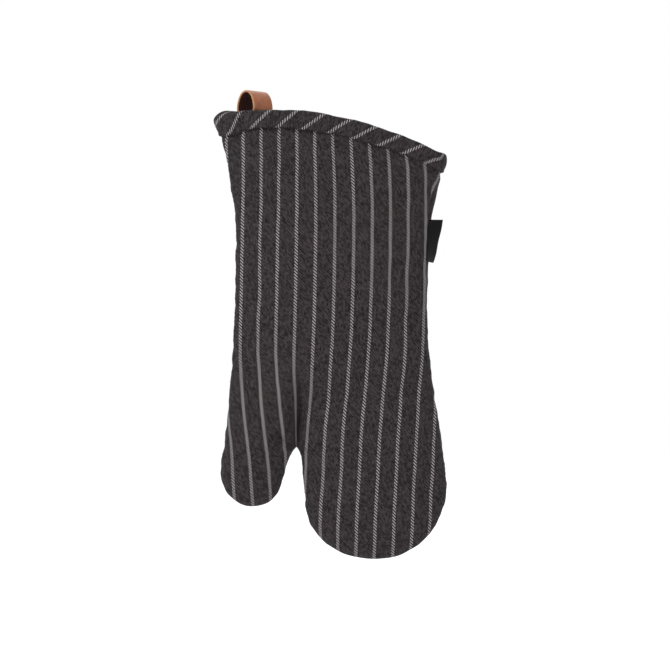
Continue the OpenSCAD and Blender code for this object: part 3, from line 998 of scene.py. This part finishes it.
def thicken(points, normals, faces, thickness):
    """Closed sheet: the outer face, an inner face below it, and the rim between them."""
    count = len(points)
    edges = np.concatenate([faces[:, [k, (k + 1) % 4]] for k in range(4)])
    keys = np.sort(edges, axis=1) @ np.array([count, 1])
    _, index, times = np.unique(keys, return_index=True, return_counts=True)
    rim = edges[index[times == 1]]
    rim_faces = np.stack([rim[:, 1], rim[:, 0], rim[:, 0] + count, rim[:, 1] + count], -1)
    return (
        np.concatenate([points, points - normals * thickness]),
        np.concatenate([faces, faces[:, ::-1] + count, rim_faces]),
    )


def split_panels(shell, word, thickness, material):
    """Cuts the finished shell into its four panels. Each keeps the whole shell's shading."""
    mesh = shell.data
    points, inward = surface(mesh)
    faces, pieces = face_points(mesh), piece_numbers(mesh)
    flat = read(mesh.uv_layers["cloth"].data, "uv", 2).reshape(-1, 4, 2)
    shading = read(mesh.corner_normals, "vector", 3).reshape(-1, 4, 3)
    names = [f"{side}_{word}_{part}" for side in ("front", "back") for part in ("hand", "thumb")]
    made = []
    for number, name in enumerate(names):
        own = pieces == number
        used, local = np.unique(faces[own], return_inverse=True)
        local = local.reshape(-1, 4)
        thick, sheet = thicken(points[used], inward[used], local, thickness)
        count = len(local)
        # Rim faces take the cloth place of the edge that they close.
        first = np.zeros((len(used), 2))
        first[local.ravel()] = flat[own].reshape(-1, 2)
        rim = first[sheet[2 * count:] % len(used)]
        panel = build_mesh(name, thick, sheet, np.concatenate([flat[own], flat[own][:, ::-1], rim]))
        normals = read(panel.data.corner_normals, "vector", 3).reshape(-1, 4, 3)
        normals[:count] = shading[own]
        normals[count:2 * count] = -shading[own][:, ::-1]
        panel.data.normals_split_custom_set(normals.reshape(-1, 3).tolist())
        panel.data.materials.append(material)
        made.append(panel)
    bpy.data.objects.remove(shell)
    return made


def join_panels(panels, layers):
    """Bakes each panel's place into its mesh and hides the frame's layers that it stands for: palm
    and fingers for the hand's panels, thumb for the thumb's. It reads each fold's levels but bends
    nothing."""
    for panel in panels:
        side = panel.name.split("_")[0]
        if panel.name.endswith("thumb"):
            body, (start, end), parts = "thumb", THUMB_BEND, ("thumb",)
        else:
            body, (start, end), parts = "fingers", FINGER_BEND, ("palm", "fingers")
        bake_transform(panel)
        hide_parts(*(f"{layer}_{side}_{p}" for layer in layers for p in parts))


class MITT_OT_outer_panels(bpy.types.Operator):
    """Sews, settles and creases the striped outer cloth, front and back"""

    bl_idname = "mitt.outer_panels"
    bl_label = "Outer panels"

    def execute(self, context):
        shell = build_shell("outer_shell", 0.0, COLUMNS, SLEEVE_ROWS, POCKET_ROWS)
        rest = coordinates(shell.data)
        sewn = rest / MM
        seam = seam_points(shell.data)
        below = rim_level(FRONT, sewn[:, 0]) - sewn[:, 2]
        moved = settle(shell, seam | (below < HELD_BELOW))
        near_seam = distance_to(sewn, sewn[seam])
        free = 0.12 + 0.88 * ease(near_seam / FREE_BESIDE)
        free = free * ease((below - FREE_FROM) / FREE_OVER)
        set_coordinates(shell.data, hold_back(shell.data, rest, moved, free))
        mark_seam(shell.data, seam)
        subdivide(shell)
        places, normals = surface(shell.data)
        from_seam = distance_to(places, sewn[seam])
        below = rim_level(FRONT, places[:, 0]) - places[:, 2]
        places = press_seams(places, normals, from_seam, below)
        places = pucker(places, normals, from_seam, below)
        set_coordinates(shell.data, press_creases(places, normals) * MM)
        twill = twill_cloth("charcoal_pinstripe_twill_woven", 1)
        panels = split_panels(shell, "panel", cloth().outer_thick / MM, twill)
        join_panels(panels, ("outer", "wadding"))
        return {"FINISHED"}


class MITT_OT_lining(bpy.types.Operator):
    """Hangs the plain lining inside the wadding"""

    bl_idname = "mitt.lining"
    bl_label = "Lining"

    def execute(self, context):
        c = cloth()
        depth = c.lining_depth / MM + LINING_EASE
        shell = build_shell("lining_shell", depth, LINING_COLUMNS, LINING_SLEEVE_ROWS,
                            LINING_POCKET_ROWS)
        subdivide(shell)
        places, normals = surface(shell.data)
        ripple = waves(places, 30.0, 21) * 0.5 + waves(places * [1, 1, 0.35], 15.0, 22) * 0.35
        ripple = np.minimum(ripple, 0.3)
        below = rim_level(FRONT, places[:, 0]) - places[:, 2]
        places = places + normals * (ripple * ease((below - 14) / 20))[:, None]
        set_coordinates(shell.data, press_creases(places, normals, 0.9) * MM)
        cotton = plain_cloth("charcoal_cotton_lining_plain_woven", c.lining_dark, c.lining_light)
        panels = split_panels(shell, "lining", c.lining_thick / MM, cotton)
        join_panels(panels, ("lining",))
        return {"FINISHED"}


# --- binding

def binding_strip():
    """Points [down from the top, depth] of the folded strip, outer edge to inner edge."""
    out = trim().binding_out / MM
    high = trim().binding_height / MM
    wall = (cloth().lining_depth + cloth().lining_thick) / MM
    radius = (wall + 2 * out) / 2
    bend = [(radius * 0.5 * (1 - math.sin(a)), wall / 2 - radius * math.cos(a))
            for a in np.linspace(0, math.pi, 9)]
    outer = [(0.0, 0.8), (-0.4, -0.4), (0.3, -out * 1.15), (1.5, -out * 0.6), (2.6, -out * 0.9),
             (4.5, -out * 1.2), (7.5, -out * 1.15), (9.8, -out * 1.05)]
    inner = [(7.5, wall + out), (4.5, wall + out), (1.5, wall + out * 0.8), (0, wall + out * 0.7),
             (0, wall + 0.1)]
    outer, inner = ([(high - up, deep) for up, deep in part] for part in (outer, inner))
    return outer + bend + inner


def ring_columns():
    """Every column round the cuff: side, part, turn round the sleeve and round the pocket."""
    order = []
    for side in (FRONT, BACK):
        for part in (THUMB, FINGERS):
            rows = list(zip(*sleeve_turns(part, COLUMNS[part])))
            order.append([(side, part, a, b) for a, b in (rows if part == THUMB else rows[1:])])
    back = (order[2] + order[3])[::-1]
    return order[0] + order[1] + back[1:-1]


def band_stretch(x):
    """The binding is taller at its two ends than near the loop."""
    return 0.95 + 0.11 * ease((x - 15) / 60) + 0.36 * ease((4 - x) / 28)


def cuff_points(side, part, turns, down, depth):
    """Points down from the cuff's top edge, stretched as the binding is, at a depth."""
    top = top_level(side, part, *turns)
    x = sleeve_point(side, part, *turns, top, 0.0)[..., 0]
    return sleeve_point(side, part, *turns, top - down * band_stretch(x), depth)


class MITT_OT_binding(bpy.types.Operator):
    """Folds the bias strip over the cuff's top edge"""

    bl_idname = "mitt.binding"
    bl_label = "Cuff binding"

    def execute(self, context):
        points = np.array([
            [cuff_points(side, part, (np.array([a]), np.array([b])), down, deep)[0]
             for down, deep in binding_strip()]
            for side, part, a, b in ring_columns()
        ])
        rows, count = points.shape[:2]
        # Lengths are measured from the strip's face, at this point of its outline.
        face = 4
        outer = points[:, face]
        along = distances(np.concatenate([outer, outer[:1]]))
        centre = np.argmin(np.abs(outer[:rows // 2, 0] - RIM_MIDDLE))
        along += RIM_MIDDLE - along[centre]
        # Each column's places in flat cloth: how far along the cuff and how far up the strip.
        ahead = np.roll(outer, -1, 0) - np.roll(outer, 1, 0)
        ahead /= np.linalg.norm(ahead, axis=1)[:, None]
        steps = np.diff(points, axis=1)
        forward = (steps * ahead[:, None]).sum(2)
        rise = np.sqrt(np.maximum((steps ** 2).sum(2) - forward ** 2, 0))
        totals = (np.pad(np.cumsum(part, axis=1), ((0, 0), (1, 0))) for part in (forward, rise))
        forward, rise = (np.pad(total - total[:, face:face + 1], ((0, 1), (0, 0)), "wrap")
                         for total in totals)
        length = along[:, None] + forward
        across = (length - rise) / math.sqrt(2) + trim().bias_shift / MM
        flat = np.stack([across, -(length + rise) / math.sqrt(2)], -1)
        flat = np.concatenate([flat, flat[:, -1:]], axis=1)
        faces, corners = closed_faces(rows, count, flat)
        made = build_mesh("cuff_binding_strip", points.reshape(-1, 3), faces, corners)
        subdivide(made)
        places, normals = surface(made.data)
        puffs = waves(places * [1, 1, 0.3], 11.0, 31) * 0.22 + waves(places, 30.0, 32) * 0.3
        set_coordinates(made.data, (places + normals * puffs[:, None]) * MM)
        made.data.materials.append(twill_cloth("charcoal_pinstripe_bias_binding_twill", 2))
        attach(made, "sleeve")
        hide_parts("cuff_binding")
        return {"FINISHED"}


# --- stitches

def stitch_tube(start, end, out, thick, sides=8, steps=8):
    """One stitch: a thread that dips into the cloth at both ends."""
    length = np.linalg.norm(end - start)
    way = (end - start) / length
    across = np.cross(way, out)
    across /= np.linalg.norm(across)
    f = np.linspace(0, 1, steps + 1)[:, None, None]
    a = 2 * np.pi * np.arange(sides)[:, None] / sides
    bow = np.sin(np.pi * f)
    middle = start + way * length * f + out * thick * (0.9 * bow ** 0.6 - 0.55)
    points = middle + thick / 2 * (0.7 + 0.3 * bow) * (np.cos(a) * across + np.sin(a) * out)
    around = 2 * np.append(np.arange(sides), 0) / sides
    flat = np.stack(np.broadcast_arrays(length * f[..., 0], around), -1)
    faces, corners = tube_faces(steps + 1, sides, flat, (flat[0, :-1], flat[-1, :-1]))
    return points.reshape(-1, 3), faces, corners


def sew(name, stitches, thread):
    """One object with a tube for each stitch [start, end, outward direction]."""
    points, faces, corners = [], [], []
    for start, end, out in stitches:
        tube, around, flat = stitch_tube(start, end, out, trim().thread_thick / MM)
        faces += [[len(points) + k for k in face] for face in around]
        points += list(tube)
        corners += list(flat)
    made = build_mesh(name, points, faces, corners)
    made.data.materials.append(spun_thread(thread, trim().thread_colour))
    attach(made, "sleeve")
    return made


class MITT_OT_binding_stitches(bpy.types.Operator):
    """Sews the binding down, one row of stitches on the front and one on the back"""

    bl_idname = "mitt.binding_stitches"
    bl_label = "Binding stitches"

    def execute(self, context):
        t = trim()
        down = t.binding_height / MM - 1.3
        deep = -t.binding_out / MM * 0.5
        step, length = t.stitch_step / MM, t.stitch_length / MM
        stitches = []
        for side in (FRONT, BACK):
            turns = [(part, sleeve_turns(part, COLUMNS[part] * 3)) for part in (THUMB, FINGERS)]
            line, outs = (
                np.concatenate([cuff_points(side, part, turn, down, depth) for part, turn in turns])
                for depth in (deep, deep - 1)
            )
            along = distances(line)
            for start in np.arange(step, along[-1] - step, step):
                a, b = (np.array([np.interp(at, along, line[:, k]) for k in range(3)])
                        for at in (start, start + length))
                o = np.array([np.interp(start + length / 2, along, outs[:, k]) for k in range(3)])
                out = o - (a + b) / 2
                out -= (b - a) * (out @ (b - a)) / ((b - a) @ (b - a))
                stitches.append((a, b, out / np.linalg.norm(out)))
        made = sew("cuff_binding_thread", stitches, "charcoal_polyester_thread_spun")
        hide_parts("binding_stitches")
        return {"FINISHED"}


# --- leather loop

def bezier(points, steps):
    """Points along one curve with four guide points, without the last."""
    a, b, c, d = (np.array(p) for p in points)
    f = np.linspace(0, 1, steps + 1)[:-1, None]
    g = 1 - f
    return a * g ** 3 + 3 * b * g * g * f + 3 * c * g * f * f + d * f ** 3


def strap_line(top):
    """Middle line of the strap [out of its plane, level], from the back end to the front end.
    The loop stands as a tall arch. Its back leg folds over the cuff's back, and its front
    leg goes down inside the cuff."""
    half = trim().strap_thick / MM / 2 + LEATHER_GAP
    wide, foot, low = ARCH_HALF, ARCH_FOOT, LEGS_MEET
    ends = np.linspace(STRAP_BOTTOM, low, 8)[:-1]
    back_end = [(half, z) for z in ends]
    back = bezier([(half, low), (0.6, -8.6), (wide + 0.2, -8.4), (wide, foot)], 12)
    arch = [(wide * math.cos(a), foot + (top - foot) * math.sin(a))
            for a in np.linspace(0, math.pi, 25)]
    front = bezier([(-wide, foot), (-wide, -10.0), (-half, -9.5), (-half, low)], 12)
    front_end = [(-half, z) for z in np.append(low, ends[::-1])]
    return np.concatenate([back_end, back, arch, front[1:], front_end])


def strap_section(half_w, half_t):
    """Outline of the strap's cut end [across, out], with softened edges."""
    c = LEATHER_EDGE
    soft = 0.12
    half = [(w, half_t) for w in np.linspace(c - half_w, half_w - c, 9)]
    half += [(half_w - soft, half_t - soft), (half_w, half_t - c), (half_w, c - half_t),
             (half_w - soft, soft - half_t)]
    return np.concatenate([half, -np.array(half)])


class MITT_OT_hanging_loop(bpy.types.Operator):
    """Bends the leather strap into the hanging loop, with both ends inside the cuff"""

    bl_idname = "mitt.hanging_loop"
    bl_label = "Hanging loop"

    def execute(self, context):
        t = trim()
        half_w, half_t = t.strap_width / MM / 2, t.strap_thick / MM / 2
        line = strap_line(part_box("hanging_loop")[1].z / MM - half_t)
        turn = mix(WALL_TURN, ARCH_TURN, ease((line[:, 1] - TURN_FROM) / TURN_HEIGHT))
        way = np.gradient(line, axis=0)
        way /= np.linalg.norm(way, axis=1)[:, None]
        section = strap_section(half_w, half_t)
        rows, count = len(line), len(section)
        level = np.zeros(rows)
        out = np.stack([-np.sin(turn), np.cos(turn), level], 1)
        wide = np.stack([np.cos(turn), np.sin(turn), level], 1)
        off = line[:, :1] + section[:, 1] * way[:, 1:]
        points = off[..., None] * out[:, None] + section[:, :1] * wide[:, None]
        points[..., 2] = line[:, 1:] - section[:, 1] * way[:, :1]
        around = distances(section)
        flat = np.stack(np.meshgrid(np.append(around, around[-1] + 0.2), distances(line)), -1)
        faces, corners = tube_faces(rows, count, flat, (section, section))
        # Materials: 0 on the face, 1 where the leather is cut, 2 on the flesh side, whose dark
        # brown is painted shade for the inside of the loop.
        after = np.roll(section, -1, 0)
        cut = np.minimum(abs(section[:, 0]), abs(after[:, 0])) > half_w - LEATHER_EDGE - 0.01
        inner = np.maximum(section[:, 1], after[:, 1]) < 0.01 - half_t
        finish = np.append(np.tile(np.where(cut, 1, np.where(inner, 2, 0)), rows - 1), [1, 1])
        made = build_mesh("leather_hanging_loop", points.reshape(-1, 3), faces, corners, finish)
        for name, dark, light, roughness, grain in (
            ("tan_cowhide_smooth_face", t.leather_dark, t.leather_light, 0.34, 0.00006),
            ("tan_cowhide_cut_edge", t.leather_light, t.leather_cut, 0.75, 0.00012),
            # The flesh side's dark browns are painted shade inside the loop.
            ("brown_cowhide_flesh_side", t.flesh_painted_shade_dark, t.flesh_painted_shade_light, 0.85, 0.00015),
        ):
            made.data.materials.append(smooth_leather(name, dark, light, roughness, grain))
        subdivide(made)
        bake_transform(made)
        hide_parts("hanging_loop", "loop_ends")
        return {"FINISHED"}


class MITT_OT_loop_stitches(bpy.types.Operator):
    """Sews the strap's two ends to the inside of the cuff with a box of stitches"""

    bl_idname = "mitt.loop_stitches"
    bl_label = "Loop stitches"

    def execute(self, context):
        t = trim()
        low, high = (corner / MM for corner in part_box("loop_stitches"))
        wide = np.array([math.cos(WALL_TURN), math.sin(WALL_TURN), 0])
        out = np.array([math.sin(WALL_TURN), -math.cos(WALL_TURN), 0])
        up = np.array([0, 0, 1.0])
        face = out * (t.strap_thick / MM + LEATHER_GAP)
        reach = t.strap_width / MM / 2 - BOX_INSET
        bottom = low.z + 0.3
        starts = [(wide * side + up * z, up) for side in (-reach, reach)
                  for z in np.arange(bottom, high.z - BOX_STITCH + 0.1, BOX_STEP)]
        starts += [(wide * x + up * bottom, wide)
                   for x in np.arange(-reach + 0.6, reach - BOX_STITCH, BOX_STEP)]
        stitches = [(face + start, face + start + way * BOX_STITCH, out) for start, way in starts]
        made = sew("hanging_loop_thread", stitches, "charcoal_loop_thread_spun")
        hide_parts("loop_stitches")
        return {"FINISHED"}


# --- label

class MITT_OT_side_label(bpy.types.Operator):
    """Folds the blank satin label and catches it in the side seam"""

    bl_idname = "mitt.side_label"
    bl_label = "Side label"

    def execute(self, context):
        low, high = (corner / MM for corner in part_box("side_label"))
        rows, columns = 26, 12
        out = trim().label_out / MM
        # One row of the folded ribbon: out along the front leaf, round the fold, and back.
        leaf = out - LABEL_FOLD
        places = [(-LABEL_TUCK, LABEL_GAP * 0.2)]
        places += [(f * leaf, LABEL_GAP * (0.4 + 0.6 * f)) for f in np.linspace(0, 1, columns)]
        places += [(leaf + LABEL_FOLD * math.sin(a), LABEL_GAP * math.cos(a))
                   for a in np.linspace(0.5, math.pi - 0.5, 5)]
        places = np.array(places + [(x, -y) for x, y in places[columns::-1]])
        x, y = places.T[..., None]
        f = np.linspace(0, 1, rows + 1)[:, None]
        level = np.zeros_like(f)
        angle = np.radians(LABEL_TURN[0] + LABEL_TURN[1] * f ** 0.9)
        root = np.hstack([mix(*LABEL_ROOT, f), level + LABEL_ROOT_Y, mix(high.z, low.z, f)])
        along = np.hstack([np.cos(angle), np.sin(angle), level])
        off = np.hstack([np.sin(angle), -np.cos(angle), level])
        wave = 0.35 * np.sin(3.1 * np.pi * f)[:, None] * np.maximum(x, 0) / out
        points = root[:, None] + along[:, None] * x + off[:, None] * (y + wave)
        points[..., 2] -= 0.05 * f * x[:, 0]
        flat = np.stack(np.meshgrid(distances(places), (high.z - low.z) * f), -1)
        faces = grid_faces(rows + 1, len(places))
        made = build_mesh("satin_side_label", points.reshape(-1, 3), faces,
                          flat.reshape(-1, 2)[faces])
        solid = made.modifiers.new("Ribbon", "SOLIDIFY")
        solid.thickness = LABEL_THICK * MM
        solid.offset = 0
        apply_modifiers(made)
        satin = woven_satin("black_satin_label_ribbon_woven", trim().label_colour)
        made.data.materials.append(satin)
        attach(made, "label")
        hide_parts("side_label")
        return {"FINISHED"}


# --- stage

def seen(tree):
    """The rays' kinds, and 1 where the camera or a reflection looks."""
    path = add_node(tree, "LightPath")
    rays = {0: path.outputs["Is Camera Ray"], 1: path.outputs["Is Glossy Ray"]}
    return path, add_node(tree, "Math", rays, operation="MAXIMUM")


def white_world(strength):
    """Even light on the mitt, and plain white where the camera or a reflection looks."""
    world = bpy.data.worlds.new("white_sweep")
    bpy.context.scene.world = world
    world.use_nodes = True
    tree = world.node_tree
    tree.nodes.clear()
    path, looked_at = seen(tree)
    rays = {0: looked_at, 1: path.outputs["Is Transmission Ray"]}
    plain = add_node(tree, "Math", rays, operation="MAXIMUM")
    light = add_node(tree, "Mix", {"Factor": plain, "A": strength, "B": 1.0})
    sky = add_node(tree, "Background", {"Color": (1, 1, 1, 1), "Strength": light})
    add_node(tree, "OutputWorld", {"Surface": sky})


def pale_floor():
    """Matt white paper. It is lit as paper, and the camera sees it lifted to plain white, so
    that only the mitt's shadow shows."""
    m = Recipe("white_paper_floor_matt")
    lift = m.calc("MULTIPLY", seen(m.tree)[1], FLOOR_LIFT)
    paper = m.node("BsdfDiffuse", {"Color": linear(hex_parts("#f4f4f4"))})
    glow = m.node("Emission", {"Color": (1, 1, 1, 1), "Strength": lift})
    return m.show(m.node("AddShader", {0: paper, 1: glow}))


class MITT_OT_stage(bpy.types.Operator):
    """Lays the floor and sets the lamps and the camera"""

    bl_idname = "mitt.stage"
    bl_label = "Stage"

    def execute(self, context):
        s = context.scene.mitt_stage
        centre = Vector((VIEW_MIDDLE[0] * MM, SEAM_Y * MM, VIEW_MIDDLE[1] * MM))
        a = FLOOR_HALF
        mesh = bpy.data.meshes.new("floor")
        mesh.from_pydata([(-a, -a, 0), (a, -a, 0), (a, a, 0), (-a, a, 0)], [], [(0, 1, 2, 3)])
        mesh.materials.append(pale_floor())
        floor = link("floor", mesh)
        floor.location = (((CAD_BOX[0] + CAD_BOX[1]) / 2).x, 0.0, -s.floor_below)
        white_world(s.sky)
        for name, (place, size) in LAMPS.items():
            lamp = bpy.data.lights.new(name, "AREA")
            lamp.shape = "SQUARE"
            lamp.size = size
            lamp.energy = getattr(s, name)
            made = link(name, lamp)
            made.location = place
            made.rotation_euler = (centre - Vector(place)).to_track_quat("-Z", "Y").to_euler()
        camera = bpy.data.cameras.new("camera")
        camera.sensor_width = 36.0
        camera.lens = camera.sensor_width * s.camera_away / s.view_width
        made = link("camera", camera)
        made.location = centre + Vector((0, -s.camera_away, 0))
        made.rotation_euler = (math.pi / 2, 0, 0)
        context.scene.camera = made
        context.scene.view_settings.view_transform = "Standard"
        return {"FINISHED"}


# --- add-on

SETTINGS = {"mitt_cloth": MittCloth, "mitt_trim": MittTrim, "mitt_stage": MittStage}
OPERATORS = (
    MITT_OT_outer_panels, MITT_OT_lining, MITT_OT_binding, MITT_OT_binding_stitches,
    MITT_OT_hanging_loop, MITT_OT_loop_stitches, MITT_OT_side_label, MITT_OT_stage,
)


class MITT_PT_panel(bpy.types.Panel):
    """Lists the mitt's pieces and settings in the sidebar"""

    bl_idname = "MITT_PT_panel"
    bl_label = "Oven mitt"
    bl_space_type = "VIEW_3D"
    bl_region_type = "UI"
    bl_category = "Mitt"

    def draw(self, context):
        for operator in OPERATORS:
            self.layout.operator(operator.bl_idname)
        for name in SETTINGS:
            group = getattr(context.scene, name)
            for key in group.bl_rna.properties.keys():
                if key not in ("rna_type", "name"):
                    self.layout.prop(group, key)


CLASSES = tuple(SETTINGS.values()) + OPERATORS + (MITT_PT_panel,)


def register():
    for made in CLASSES:
        bpy.utils.register_class(made)
    for name, group in SETTINGS.items():
        setattr(bpy.types.Scene, name, bpy.props.PointerProperty(type=group))


def unregister():
    for name in SETTINGS:
        delattr(bpy.types.Scene, name)
    for made in reversed(CLASSES):
        bpy.utils.unregister_class(made)


def main():
    register()
    bpy.ops.mitt.outer_panels()
    bpy.ops.mitt.lining()
    bpy.ops.mitt.binding()
    bpy.ops.mitt.binding_stitches()
    bpy.ops.mitt.hanging_loop()
    bpy.ops.mitt.loop_stitches()
    bpy.ops.mitt.side_label()
    bpy.ops.mitt.stage()


if __name__ == "__main__":
    main()
